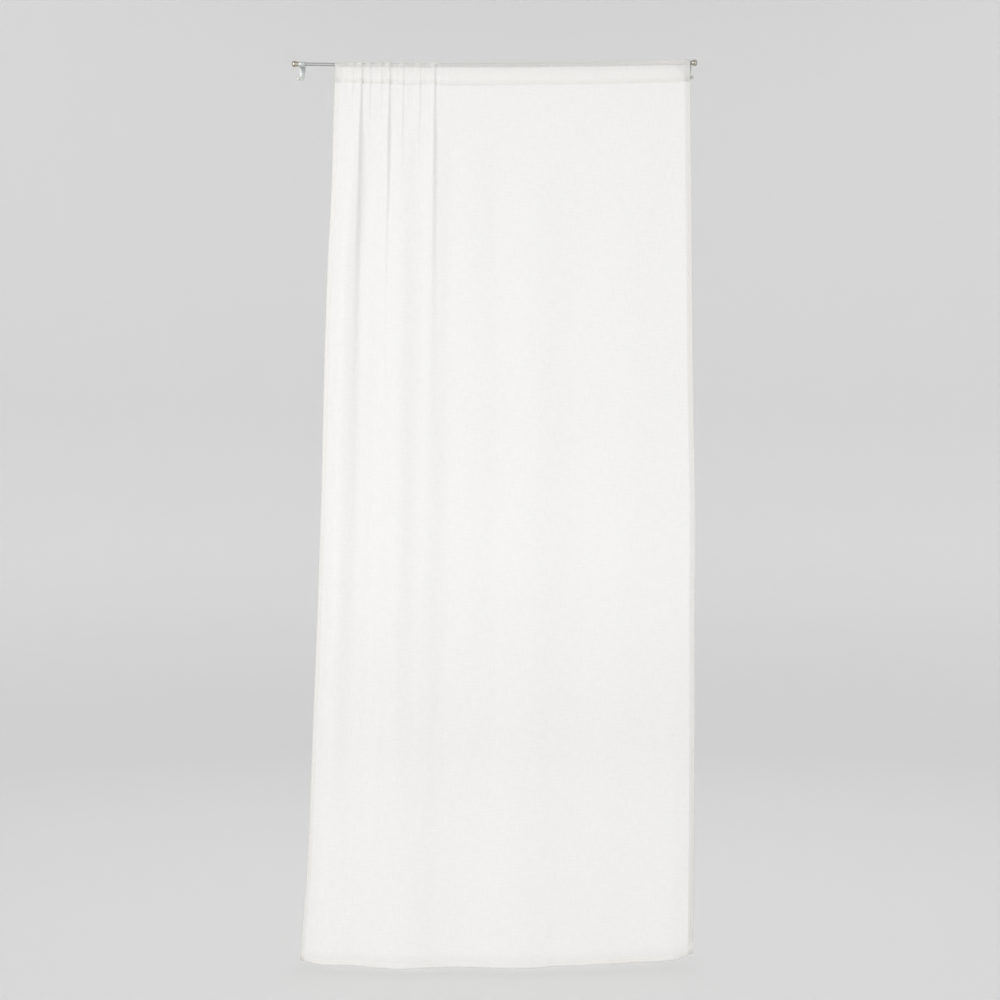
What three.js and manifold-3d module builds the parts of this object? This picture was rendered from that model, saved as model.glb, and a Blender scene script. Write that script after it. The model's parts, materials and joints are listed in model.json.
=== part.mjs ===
// A sheer curtain panel with a sewn rod pocket, gathered at one end of a thin metal bar that lies
// in two small brackets. Millimetres. +X runs right along the bar, +Y runs back to the mounting
// face at y = 0, and +Z is up. The origin lies on that face, midway between the bar's ends and
// level with the bar where the left bracket holds it.
import * as THREE from "three";
import { mergeVertices } from "three/addons/utils/BufferGeometryUtils.js";
import Module from "manifold-3d";

const wasm = await Module();
wasm.setup();

// The bar: it bends a little under the cloth, and its right bracket is fixed a little higher.
const GAP = 0.3;
const BAR_RADIUS = 4;
const BAR_SIDES = 20;
const BAR_STEPS = 12;
const BAR_REACH = 445.6;
const BAR_SAG = 4;
const BAR_RISE = 2.5;
const STAND_OFF = 32;
const BRACKET_X = 428.4;

// The knobs: a rounded barrel on a short neck, with a blind socket for the bar's end.
const KNOB_RADIUS = 7.2;
const KNOB_LENGTH = 12.6;
const KNOB_ROUNDNESS = 2.6;
const KNOB_POINTS = 9;
const NECK_RADIUS = 5.4;
const NECK_LENGTH = 2.4;
const NECK_START = 436.2;
const SOCKET_RADIUS = 4.35;

// The brackets: a leg-shaped plate, a flat arm that widens forwards, and an open cup for the bar.
const METAL = 2;
const PLATE_DEPTH = 2.5;
const CUP_WIDTH = 14.5;
const CUP_RADIUS = 4.45;
const CUP_LIP_ANGLE = 50;
const CUP_SEGMENTS = 10;
const ARM_ROOT = { inside: -1.6, outside: 9.4 };
const PLATE = {
  inside: -2.1,
  outside: 11.4,
  top: 7,
  corner: 2.5,
  shoulder: -7,
  knee: -14,
  ankle: 8.4,
  instep: -18.9,
  heel: 0.8,
  toe: 4,
};
const FOOT_POINTS = 8;
const FOOT_ARC = { from: 110, to: -90 };
const SCREW = { out: 12.6, down: -25, shank: 1.5, hole: 1.9, head: 3.3, height: 2, recess: 1.1 };
const SCREW_SIDES = 12;
const SCREW_DOME = [
  { out: 1, up: 0.35 },
  { out: 0.82, up: 0.75 },
  { out: 0.45, up: 0.96 },
];
const SCREW_SLOT = { long: 1.2, wide: 0.27 };

// The cloth: one finished panel, its thickness in one layer and where it is turned over and sewn.
const CUT_WIDTH = 900;
const SHEET = 1.2;
const HEM_SHEET = 2;
const SIDE_HEM = 10;
const BOTTOM_HEM = 12;
const STEP = 0.8;
const BAND = 9;
const BAND_GAP = 0.5;
const SEAM_LAYERS = 1.5;
const SEAM_DROP = 1;
const HEM_LEVEL = -1999.9;

// The panel's two side edges, from the heading down to the hem.
const EDGES = [
  { drop: 0, left: -355, right: 435 },
  { drop: 100, left: -358.5, right: 436.3 },
  { drop: 300, left: -364.5, right: 438.4 },
  { drop: 440, left: -372, right: 439.5 },
  { drop: 700, left: -380, right: 442 },
  { drop: 970, left: -386.5, right: 446.5 },
  { drop: 1240, left: -395.6, right: 446 },
  { drop: 1500, left: -406, right: 446 },
  { drop: 1770, left: -417, right: 444.5 },
  { drop: 1900, left: -427, right: 442 },
  { drop: 1995, left: -433.5, right: 438 },
];

// The hem's line seen from above, and how high it hangs above its lowest possible level.
const HEM = [
  { x: -433.5, y: -28, lift: 5 },
  { x: -405, y: -55.5, lift: 5 },
  { x: -377, y: -70, lift: 4 },
  { x: -308, y: -76, lift: 4 },
  { x: -258, y: -91, lift: 3 },
  { x: -210, y: -103, lift: 3 },
  { x: -169, y: -100, lift: 3 },
  { x: -132, y: -91, lift: 3 },
  { x: -71.5, y: -84, lift: 3 },
  { x: 15, y: -94, lift: 3 },
  { x: 46, y: -97, lift: 3 },
  { x: 87, y: -94, lift: 3 },
  { x: 139.5, y: -82, lift: 4 },
  { x: 218.5, y: -74, lift: 5 },
  { x: 280, y: -65, lift: 6 },
  { x: 344.5, y: -56, lift: 7 },
  { x: 391, y: -52, lift: 9 },
  { x: 418, y: -39, lift: 14 },
  { x: 438, y: -27, lift: 20 },
];

// The pocket along the bar: how far its foot hangs under the bar's axis, and how far the cloth
// stands off the bar at its top and at its front, where it rides up over the right bracket's cup.
const POCKET = [
  { place: -355, foot: 40, top: 0, front: 0 },
  { place: -300, foot: 41.5, top: 0, front: 0 },
  { place: -200, foot: 44, top: 0, front: 0 },
  { place: -140, foot: 42, top: 0, front: 0 },
  { place: 30, foot: 42, top: 0.8, front: 0.3 },
  { place: 235, foot: 41, top: 2.2, front: 1 },
  { place: 400, foot: 40, top: 2.8, front: 3.8 },
  { place: 415, foot: 40, top: 2.8, front: 4.6 },
  { place: 435, foot: 39.7, top: 2.8, front: 4.6 },
];

// The gathers: where each sits on the bar, how wide and deep it is in front, how high it stands
// over the bar, and how far down the panel it keeps its form.
const GATHERS = [
  { place: -315, width: 11, depth: 8, frill: 2.6, reach: 170 },
  { place: -296, width: 12, depth: 14, frill: 3.4, reach: 430 },
  { place: -277, width: 10, depth: 8, frill: 2.2, reach: 130 },
  { place: -252, width: 11, depth: 9, frill: 2, reach: 140 },
  { place: -234, width: 12, depth: 13, frill: 2.6, reach: 410 },
  { place: -204, width: 12, depth: 9, frill: 2, reach: 170 },
  { place: -167, width: 12, depth: 9, frill: 2, reach: 140 },
  { place: -134, width: 14, depth: 13, frill: 2.4, reach: 440 },
];
const GATHER_SPREAD = 150;
const BACK_SHARE = 0.35;

// The broad soft folds that the gathers run out into at mid-height.
const SOFT_FOLDS = [
  { place: -318, width: 78, depth: 14 },
  { place: -222, width: 116, depth: 26 },
  { place: -134, width: 92, depth: 19 },
  { place: -44, width: 110, depth: 11 },
  { place: 96, width: 190, depth: 12 },
  { place: 296, width: 200, depth: 10 },
];
const SOFT_START = 320;
const SOFT_FADE = { from: 1150, to: 1900 };
const MOST_SCALE = 1.2;
const HALVINGS = 20;

// How late the panel leaves the bar's plane on its way forward to the hem's line, and how near
// the side edges the cloth takes up their spreading.
const FORWARD_POWER = 1.5;
const EDGE_POWER = 3;

// How close the cloth's columns stand, in stretches along the heading.
const SPACING = [
  { upTo: -60, gap: 17 },
  { upTo: 372, gap: 42 },
  { upTo: 435, gap: 11 },
];

// The panel's rows: close together under the pocket and further apart below.
const PANEL_STEPS = 12;
const EVEN_SHARE = 0.3;

// The right bracket's arm pushes the end of the pocket's back layer this far along the bar.
const PUSH = { reach: 23.5, from: 372, startAngle: 30, fullAngle: 135 };
const PAST_END = 3;

// The cloth round the bar: the angles from its front between which it is bent, and those at
// which its lift off the bar passes from the front's to the top's and then dies away.
const CROWN_START = -8;
const CROWN_STATIONS = 7;
const CROWN_STEP = (180 - 2 * CROWN_START) / (CROWN_STATIONS - 1);
const LIFT = { frontEnds: 45, fallsFrom: 100, gone: 150 };

// The sharpest bend at which an offset layer still keeps its full thickness.
const LEAST_MITRE = 0.55;
const MERGE_DISTANCE = 1e-4;

const radians = THREE.MathUtils.degToRad;
const lerp = THREE.MathUtils.lerp;
const smoothstep = THREE.MathUtils.smoothstep;

// A closed geometry as a solid for joining and cutting.
function solidOf(geometry) {
  geometry.deleteAttribute("normal");
  geometry.deleteAttribute("uv");
  const merged = mergeVertices(geometry, MERGE_DISTANCE);
  const vertProperties = Float32Array.from(merged.attributes.position.array);
  const triVerts = Uint32Array.from(merged.index.array);
  return new wasm.Manifold(new wasm.Mesh({ numProp: 3, vertProperties, triVerts }));
}

// A solid's surface as a geometry.
function geometryOf(solid) {
  const mesh = solid.getMesh();
  const geometry = new THREE.BufferGeometry();
  geometry.setAttribute("position", new THREE.BufferAttribute(mesh.vertProperties, mesh.numProp));
  geometry.setIndex(new THREE.BufferAttribute(mesh.triVerts, 1));
  geometry.computeVertexNormals();
  return geometry;
}

// One column of a table, read at a place between its rows on a smooth curve through them.
function readTable(rows, key, column, place) {
  const last = rows.length - 1;
  const at = THREE.MathUtils.clamp(place, rows[0][key], rows[last][key]);
  const next = Math.max(1, rows.findIndex((row) => row[key] >= at));
  const slope = (i) => {
    const before = rows[Math.max(0, i - 1)];
    const after = rows[Math.min(last, i + 1)];
    return (after[column] - before[column]) / (after[key] - before[key]);
  };
  const from = rows[next - 1];
  const to = rows[next];
  const span = to[key] - from[key];
  const t = (at - from[key]) / span;
  const rise = to[column] - from[column];
  const ease = t * t * (3 - 2 * t);
  const bend = slope(next - 1) * (1 - t) * (1 - t) * t - slope(next) * t * t * (1 - t);
  return from[column] + rise * ease + span * bend;
}

// A smooth hump: 1 in the middle, 0 at a distance of 1 and beyond.
function hump(distance) {
  return Math.abs(distance) < 1 ? Math.cos((distance * Math.PI) / 2) ** 2 : 0;
}

// The height of the bar's axis.
function barHeight(x) {
  const share = (x + BRACKET_X) / (2 * BRACKET_X);
  return BAR_RISE * share - 4 * BAR_SAG * share * (1 - share);
}

// The slope of the bar's axis.
function barSlope(x) {
  const share = (x + BRACKET_X) / (2 * BRACKET_X);
  return (BAR_RISE - 4 * BAR_SAG * (1 - 2 * share)) / (2 * BRACKET_X);
}

const HEADING = EDGES[0];
const FOOT = EDGES[EDGES.length - 1];

// Where the thread at a place along the heading lies further down: the side hems keep their
// width, and the cloth between them takes up the spreading of the edges.
function columnX(place, drop) {
  const inside = HEADING.right - HEADING.left - 2 * SIDE_HEM;
  const share = THREE.MathUtils.clamp((place - HEADING.left - SIDE_HEM) / inside, 0, 1);
  const left = readTable(EDGES, "drop", "left", drop) - HEADING.left;
  const right = readTable(EDGES, "drop", "right", drop) - HEADING.right;
  return place + left * (1 - share) ** EDGE_POWER + right * share ** EDGE_POWER;
}

// The places along the heading where the cloth's columns stand.
function columnPlaces() {
  const left = [HEADING.left, HEADING.left + SIDE_HEM - STEP, HEADING.left + SIDE_HEM];
  const right = [HEADING.right - SIDE_HEM, HEADING.right - SIDE_HEM + STEP, HEADING.right];
  const ridges = GATHERS.flatMap(({ place, width }) =>
    [-0.5, -0.25, 0, 0.25, 0.5].map((share) => place + share * width),
  );
  const fixed = [...left, ...ridges, ...right].sort((a, b) => a - b);
  const places = [fixed[0]];
  for (const place of fixed.slice(1)) {
    const previous = places[places.length - 1];
    const spacing = SPACING.find(({ upTo }) => previous < upTo).gap;
    const fill = Math.ceil((place - previous) / spacing);
    for (let i = 1; i < fill; i++) places.push(lerp(previous, place, i / fill));
    places.push(place);
  }
  return places;
}

const PLACES = columnPlaces();

// The gathers' depth in front at a place, some way below the pocket.
function gatherDepth(place, below) {
  const spread = 1 + below / GATHER_SPREAD;
  return GATHERS.reduce((sum, { place: middle, width, depth, reach }) => {
    const fade = Math.exp(-((below / reach) ** 2));
    return sum + depth * fade * hump((place - middle) / ((width / 2) * spread));
  }, 0);
}

// The soft folds' depth at a place, some way below the pocket.
function softDepth(place, below) {
  const swell = smoothstep(below, 0, SOFT_START);
  const fade = 1 - smoothstep(below, SOFT_FADE.from, SOFT_FADE.to);
  return SOFT_FOLDS.reduce((sum, { place: middle, width, depth }) => {
    return sum + depth * swell * fade * hump((place - middle) / (width / 2));
  }, 0);
}

const SEAM_Y = -STAND_OFF - SHEET / 2;

// The height of the pocket's foot, where its back layer is sewn down.
function seamHeight(place) {
  return barHeight(place) - readTable(POCKET, "place", "foot", place);
}

// One thread across the panel, a share of the way from the pocket's foot down to the hem.
function panelRow(share, foldScale) {
  return PLACES.map((place) => {
    const hemX = columnX(place, FOOT.drop);
    const top = seamHeight(place) - SEAM_DROP;
    const bottom = HEM_LEVEL + readTable(HEM, "x", "lift", hemX);
    const z = lerp(top, bottom, share);
    const below = top - z;
    const folds = gatherDepth(place, below) + softDepth(place, below);
    const plan = lerp(SEAM_Y, readTable(HEM, "x", "y", hemX), share ** FORWARD_POWER);
    return new THREE.Vector3(columnX(place, -z), plan - foldScale * folds, z);
  });
}

// A thread's length seen from above.
function rowLength(row) {
  return row.slice(1).reduce((sum, point, i) => {
    return sum + Math.hypot(point.x - row[i].x, point.y - row[i].y);
  }, 0);
}

// Cloth doesn't stretch, so the folds in each row are scaled until the row is as long as the
// panel is wide, or to the most that the folds may grow where fine ripples take up the rest.
function foldScale(share) {
  let least = 0;
  let most = MOST_SCALE;
  for (let i = 0; i < HALVINGS; i++) {
    const middle = (least + most) / 2;
    if (rowLength(panelRow(share, middle)) < CUT_WIDTH) least = middle;
    else most = middle;
  }
  return least;
}

const HEADING_SCALE = foldScale(0);
const CROWN_RADIUS = (BAR_RADIUS + GAP + SHEET / 2) / Math.cos(radians(CROWN_STEP / 2));

// The thickness of the cloth at a place: more where the side hems are turned over.
function thickness(place) {
  const inHem = place < HEADING.left + SIDE_HEM - STEP / 2;
  return inHem || place > HEADING.right - SIDE_HEM + STEP / 2 ? HEM_SHEET : SHEET;
}

// How far along the bar the pocket's back layer is pushed at its right end.
function pushed(place, share) {
  return PUSH.reach * share * smoothstep(place, PUSH.from, HEADING.right);
}

// The cloth round the bar at an angle from its front: 90 is its top and 180 its back.
function crownPoint(place, angle) {
  const toTop = smoothstep(angle, 0, 90);
  const toBack = smoothstep(angle, 90, 180);
  const ridge = GATHERS.reduce((sum, { place: middle, width, depth, frill }) => {
    const front = lerp(depth * HEADING_SCALE, frill, toTop);
    return sum + lerp(front, depth * BACK_SHARE, toBack) * hump((place - middle) / (width / 2));
  }, 0);
  const front = readTable(POCKET, "place", "front", place);
  const top = readTable(POCKET, "place", "top", place);
  const upper = lerp(front, top, smoothstep(angle, LIFT.frontEnds, 90));
  const lift = lerp(upper, 0, smoothstep(angle, LIFT.fallsFrom, LIFT.gone));
  const radius = CROWN_RADIUS + lift + ridge;
  const push = pushed(place, smoothstep(angle, PUSH.startAngle, PUSH.fullAngle));
  return new THREE.Vector3(
    place - push,
    -STAND_OFF - radius * Math.cos(radians(angle)),
    barHeight(place) + radius * Math.sin(radians(angle)),
  );
}

// The pocket's front layer at a height above its foot.
function frontPoint(place, height) {
  const start = crownPoint(place, CROWN_START);
  const z = seamHeight(place) + height;
  const share = height / (start.z - seamHeight(place));
  const seamY = SEAM_Y - HEADING_SCALE * gatherDepth(place, 0);
  return new THREE.Vector3(place, lerp(seamY, start.y, share), z);
}

const FRONT = new THREE.Vector3(0, -1, 0);
const BACK = new THREE.Vector3(0, 1, 0);

// Moves a row of points off the sheet: out along a direction, square to the row, with the
// distance stretched at bends so that the layer keeps its thickness.
function offsetRow(row, direction, distance) {
  const square = (from, to) => {
    const along = to.clone().sub(from).normalize();
    return direction.clone().addScaledVector(along, -direction.dot(along)).normalize();
  };
  return row.map((point, i) => {
    const before = i > 0 ? square(row[i - 1], point) : null;
    const after = i < row.length - 1 ? square(point, row[i + 1]) : null;
    const one = before ?? after;
    const other = after ?? before;
    const middle = one.clone().add(other).normalize();
    const stretch = 1 / Math.max(LEAST_MITRE, middle.dot(one));
    return point.clone().addScaledVector(middle, distance(PLACES[i]) * stretch);
  });
}

// A solid between rings of points, one ring for each column, closed at both ends. Each ring runs
// up the front and down the back, so its ends are closed by a ladder from side to side.
function loft(rings) {
  const size = rings[0].length;
  const positions = rings.flat().flatMap(({ x, y, z }) => [x, y, z]);
  const faces = [];
  const quad = (a, b, c, d) => faces.push(a, b, c, a, c, d);
  for (let i = 0; i < rings.length - 1; i++) {
    for (let k = 0; k < size; k++) {
      const next = (k + 1) % size;
      quad(i * size + k, (i + 1) * size + k, (i + 1) * size + next, i * size + next);
    }
  }
  const far = (rings.length - 1) * size;
  const apex = (size - 1) / 2;
  for (let k = 0; k < apex - 1; k++) {
    const mate = size - 1 - k;
    quad(k, k + 1, mate - 1, mate);
    quad(far + mate, far + mate - 1, far + k + 1, far + k);
  }
  faces.push(apex - 1, apex, apex + 1);
  faces.push(far + apex + 1, far + apex, far + apex - 1);
  const geometry = new THREE.BufferGeometry();
  geometry.setAttribute("position", new THREE.Float32BufferAttribute(positions, 3));
  geometry.setIndex(faces);
  return solidOf(geometry);
}

// Turns rows of points, each across the cloth, into one ring for each column.
function ringsOf(rows) {
  return PLACES.map((_, i) => rows.map((row) => row[i]));
}

// The whole curtain: the panel with its hems, and the pocket with its turned-in band.
function curtain() {
  const half = (place) => thickness(place) / 2;
  const panelLength = -HEM_LEVEL;
  const hemShare = 1 - BOTTOM_HEM / panelLength;
  const body = Array.from({ length: PANEL_STEPS + 1 }, (_, i) => {
    const t = i / PANEL_STEPS;
    return lerp(t * t, t, EVEN_SHARE) * (hemShare - STEP / panelLength);
  });
  const shares = [1, hemShare, ...body.reverse()];
  const panel = shares.map((share) => panelRow(share, foldScale(share)));
  const panelHalf = shares.map((share) => (share < hemShare ? half : () => HEM_SHEET / 2));
  const panelFront = panel.map((row, i) => offsetRow(row, FRONT, panelHalf[i]));
  const panelBack = panel.map((row, i) => offsetRow(row, BACK, panelHalf[i])).reverse();

  const angles = Array.from({ length: CROWN_STATIONS }, (_, i) => CROWN_START + i * CROWN_STEP);
  const crown = angles.map((angle) => PLACES.map((place) => crownPoint(place, angle)));
  const around = angles.map((angle) => {
    return new THREE.Vector3(0, -Math.cos(radians(angle)), Math.sin(radians(angle)));
  });
  const halfway = (low, high) => low.map((point, i) => point.clone().lerp(high[i], 0.5));
  const seam = PLACES.map((place) => frontPoint(place, 0));
  const bandTop = PLACES.map((place) => frontPoint(place, BAND));
  const frontRows = [seam, bandTop, halfway(bandTop, crown[0])];
  const bandBack = offsetRow(bandTop, BACK, (place) => thickness(place) + BAND_GAP);
  const backRows = [halfway(bandBack, crown[CROWN_STATIONS - 1]), bandBack];
  const seamBack = offsetRow(seam, BACK, (place) => SEAM_LAYERS * thickness(place) + BAND_GAP);

  const outward = (place) => thickness(place) - SHEET / 2;
  const outside = [
    ...panelFront,
    ...frontRows.map((row) => offsetRow(row, FRONT, outward)),
    ...crown.map((row, i) => offsetRow(row, around[i], outward)),
    ...backRows.map((row) => offsetRow(row, BACK, outward)),
    seamBack,
    ...panelBack,
  ];
  const inward = () => -SHEET / 2;
  const inside = [
    ...frontRows.slice(1).map((row) => offsetRow(row, FRONT, inward)),
    ...crown.map((row, i) => offsetRow(row, around[i], inward)),
    ...backRows.map((row) => offsetRow(row, BACK, inward)),
  ];
  const pocket = ringsOf(inside);
  for (const point of pocket[0]) point.x -= PAST_END;
  for (const point of pocket[pocket.length - 1]) point.x += PAST_END;
  return geometryOf(loft(ringsOf(outside)).subtract(loft(pocket)));
}

// The bar, swept along its slight bend.
function bar() {
  const points = Array.from({ length: BAR_STEPS + 1 }, (_, i) => {
    const x = lerp(-BAR_REACH, BAR_REACH, i / BAR_STEPS);
    return new THREE.Vector3(x, -STAND_OFF, barHeight(x));
  });
  const section = new THREE.Shape().absarc(0, 0, BAR_RADIUS, 0, 2 * Math.PI);
  return new THREE.ExtrudeGeometry(section, {
    steps: BAR_STEPS,
    curveSegments: BAR_SIDES / 2,
    extrudePath: new THREE.CatmullRomCurve3(points),
  });
}

// A knob along +Y from its open neck, with a blind socket over the bar's end.
function knob() {
  const socketDepth = BAR_REACH + GAP - NECK_START;
  const middle = NECK_LENGTH + KNOB_LENGTH / 2;
  const power = 2 / KNOB_ROUNDNESS;
  const first = Math.asin((NECK_RADIUS / KNOB_RADIUS) ** (1 / power));
  const barrel = Array.from({ length: KNOB_POINTS }, (_, i) => {
    const angle = lerp(first, Math.PI, i / (KNOB_POINTS - 1));
    const along = Math.sign(Math.cos(angle)) * Math.abs(Math.cos(angle)) ** power;
    const radius = i === KNOB_POINTS - 1 ? 0 : KNOB_RADIUS * Math.sin(angle) ** power;
    return new THREE.Vector2(radius, middle - (along * KNOB_LENGTH) / 2);
  });
  const socket = [
    [0, socketDepth],
    [SOCKET_RADIUS, socketDepth],
    [SOCKET_RADIUS, 0],
    [NECK_RADIUS, 0],
  ].map(([radius, along]) => new THREE.Vector2(radius, along));
  return new THREE.LatheGeometry([...socket, ...barrel], BAR_SIDES);
}

// The bracket's plate, seen from the front: a leg with its foot turned outwards round the screw.
function plateShape(x) {
  const { out, down, hole } = SCREW;
  const shape = new THREE.Shape();
  shape.moveTo(x(PLATE.inside), PLATE.top - PLATE.corner);
  shape.quadraticCurveTo(x(PLATE.inside), PLATE.top, x(PLATE.inside + PLATE.corner), PLATE.top);
  shape.lineTo(x(PLATE.outside - PLATE.corner), PLATE.top);
  shape.quadraticCurveTo(x(PLATE.outside), PLATE.top, x(PLATE.outside), PLATE.top - PLATE.corner);
  shape.lineTo(x(PLATE.outside), PLATE.shoulder);
  shape.quadraticCurveTo(x(PLATE.outside), PLATE.knee, x(PLATE.ankle), PLATE.instep);
  for (let i = 0; i <= FOOT_POINTS; i++) {
    const angle = radians(lerp(FOOT_ARC.from, FOOT_ARC.to, i / FOOT_POINTS));
    shape.lineTo(x(out + PLATE.toe * Math.cos(angle)), down + PLATE.toe * Math.sin(angle));
  }
  shape.lineTo(x(PLATE.heel + PLATE.corner), down - PLATE.toe);
  shape.quadraticCurveTo(x(PLATE.heel), down - PLATE.toe, x(PLATE.heel), down);
  shape.lineTo(x(PLATE.inside), PLATE.shoulder);
  shape.holes.push(new THREE.Path().absarc(x(out), down, hole, 0, 2 * Math.PI));
  return shape;
}

// The bracket's arm, seen from above: narrow at the plate and as wide as the cup in front.
function armShape(x) {
  const root = -(PLATE_DEPTH - STEP);
  const front = -(STAND_OFF - CUP_RADIUS - METAL / 2);
  const shape = new THREE.Shape();
  shape.moveTo(x(ARM_ROOT.inside), root);
  shape.quadraticCurveTo(x(ARM_ROOT.inside), (root + front) / 2, x(-CUP_WIDTH / 2), front);
  shape.lineTo(x(CUP_WIDTH / 2), front);
  shape.quadraticCurveTo(x(ARM_ROOT.outside), (root + front) / 2, x(ARM_ROOT.outside), root);
  return shape;
}

// The cup's section, seen from the side: forwards is positive, and the lip stands in front.
function cupShape() {
  const lip = radians(CUP_LIP_ANGLE);
  const back = -Math.PI - Math.asin(METAL / 2 / (CUP_RADIUS + METAL / 2));
  const shape = new THREE.Shape();
  shape.absarc(STAND_OFF, 0, CUP_RADIUS + METAL, lip, back, true);
  shape.absarc(STAND_OFF, 0, CUP_RADIUS, back, lip, false);
  return shape;
}

// A bracket on one side: -1 is the left and 1 the right.
function bracket(side) {
  const x = (out) => side * (BRACKET_X + out);
  const curveSegments = CUP_SEGMENTS;
  const flat = { bevelEnabled: false, curveSegments };
  const plate = new THREE.ExtrudeGeometry(plateShape(x), { ...flat, depth: PLATE_DEPTH });
  plate.rotateX(Math.PI / 2);
  const arm = new THREE.ExtrudeGeometry(armShape(x), { ...flat, depth: METAL });
  arm.translate(0, 0, -METAL / 2);
  const cup = new THREE.ExtrudeGeometry(cupShape(), { ...flat, depth: CUP_WIDTH });
  cup.rotateX(Math.PI / 2).rotateZ(-Math.PI / 2).translate(x(0) + CUP_WIDTH / 2, 0, 0);
  return geometryOf(solidOf(plate).add(solidOf(arm)).add(solidOf(cup)));
}

// A screw along -Y: its shank in the plate and its domed head with a cross recess in front.
function screw() {
  const { shank, head, height, recess } = SCREW;
  const seat = PLATE_DEPTH + GAP;
  const profile = [
    [0, GAP],
    [shank, GAP],
    [shank, seat],
    [head, seat],
    ...SCREW_DOME.map(({ out, up }) => [head * out, seat + height * up]),
    [0, seat + height],
  ].map(([radius, along]) => new THREE.Vector2(radius, along));
  const body = new THREE.LatheGeometry(profile, SCREW_SIDES).rotateX(Math.PI);
  const slot = (turn) => {
    const box = new THREE.BoxGeometry(head * SCREW_SLOT.long, 2 * recess, head * SCREW_SLOT.wide);
    return solidOf(box.rotateY(turn).translate(0, -(seat + height), 0));
  };
  return geometryOf(solidOf(body).subtract(slot(0)).subtract(slot(Math.PI / 2)));
}

const group = new THREE.Group();
const CLOTH = { color: 0xf5f4f2, roughness: 0.9, metalness: 0, side: THREE.DoubleSide };
const STEEL = { color: 0xa8abae, roughness: 0.35, metalness: 0.9 };
const POLISHED = { color: 0xc9c8c6, roughness: 0.2, metalness: 1 };

// Adds one named piece with its own material.
function addPiece(name, geometry, look) {
  const mesh = new THREE.Mesh(geometry, new THREE.MeshStandardMaterial(look));
  mesh.name = name;
  group.add(mesh);
  return mesh;
}

addPiece("curtain", curtain(), CLOTH);
addPiece("rod", bar(), STEEL);
for (const [name, side] of [["left", -1], ["right", 1]]) {
  const holder = addPiece(`bracket_${name}`, bracket(side), STEEL);
  holder.position.z = barHeight(side * BRACKET_X);
  const fixing = addPiece(`screw_${name}`, screw(), POLISHED);
  fixing.position.set(side * (BRACKET_X + SCREW.out), 0, SCREW.down + holder.position.z);
  const finial = addPiece(`finial_${name}`, knob().rotateZ((-side * Math.PI) / 2), POLISHED);
  finial.position.set(side * NECK_START, -STAND_OFF, barHeight(side * NECK_START));
  finial.rotation.y = -Math.atan(barSlope(side * NECK_START));
}

export default group;
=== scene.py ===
"""A sheer linen-look curtain panel, gathered at one end of a thin metal bar in two brackets.

Lengths in the classes are millimetres. Meshes are metres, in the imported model's own frame: +X runs
right along the bar, +Y back to the mounting face and +Z up.
"""

from __future__ import annotations

import json
import logging
import math
from dataclasses import astuple, dataclass
from enum import Enum
from typing import Any

import bmesh
import bpy
import numpy as np
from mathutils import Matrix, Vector

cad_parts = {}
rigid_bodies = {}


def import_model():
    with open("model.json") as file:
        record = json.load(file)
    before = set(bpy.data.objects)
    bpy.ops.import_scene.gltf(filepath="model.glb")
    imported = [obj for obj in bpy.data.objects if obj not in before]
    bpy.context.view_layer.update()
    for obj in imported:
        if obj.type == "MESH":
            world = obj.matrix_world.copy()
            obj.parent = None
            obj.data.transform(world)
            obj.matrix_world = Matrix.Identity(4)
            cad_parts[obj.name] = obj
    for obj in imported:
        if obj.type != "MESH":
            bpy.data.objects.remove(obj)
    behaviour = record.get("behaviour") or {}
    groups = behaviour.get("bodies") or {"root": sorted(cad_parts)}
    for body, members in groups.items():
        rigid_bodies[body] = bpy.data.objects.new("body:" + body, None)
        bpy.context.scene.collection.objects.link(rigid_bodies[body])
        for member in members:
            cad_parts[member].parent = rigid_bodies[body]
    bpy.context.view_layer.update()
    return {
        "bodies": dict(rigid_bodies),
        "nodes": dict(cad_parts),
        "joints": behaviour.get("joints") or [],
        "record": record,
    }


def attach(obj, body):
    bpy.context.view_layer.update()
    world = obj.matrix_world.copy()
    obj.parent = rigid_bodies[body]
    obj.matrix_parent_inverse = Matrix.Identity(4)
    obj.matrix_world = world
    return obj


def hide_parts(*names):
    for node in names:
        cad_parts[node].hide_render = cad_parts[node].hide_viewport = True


Array = np.ndarray
Colour = tuple[float, float, float, float]
Point = tuple[float, float, float]

MM = 0.001
TINY = 1e-12
LEAST_STEP = 1e-6
MERGE_DISTANCE = 0.001
FLOOR = -2012
BODY = "root"
CLOTH_UV = "cloth"
LAYERS = "layers"
SHADE = "shade"
LOG = logging.getLogger("curtain")


class Side(Enum):
    """The two ends of the bar, as the sign of X."""

    LEFT = -1
    RIGHT = 1


# Small mathematical helpers


def smoothstep(value: Array, low: float, high: float) -> Array:
    """Rises smoothly from 0 at low to 1 at high, as 3t^2 - 2t^3."""
    t = np.clip((value - low) / (high - low), 0, 1)
    return t * t * (3 - 2 * t)


def lerp(start: Array, end: Array, share: Array) -> Array:
    """A share of the way from start to end."""
    return start + (end - start) * share


def hump(distance: Array) -> Array:
    """A cosine-squared hump: 1 in the middle and 0 at a distance of 1 and beyond."""
    return np.where(np.abs(distance) < 1, np.cos(distance * np.pi / 2) ** 2, 0)


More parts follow.
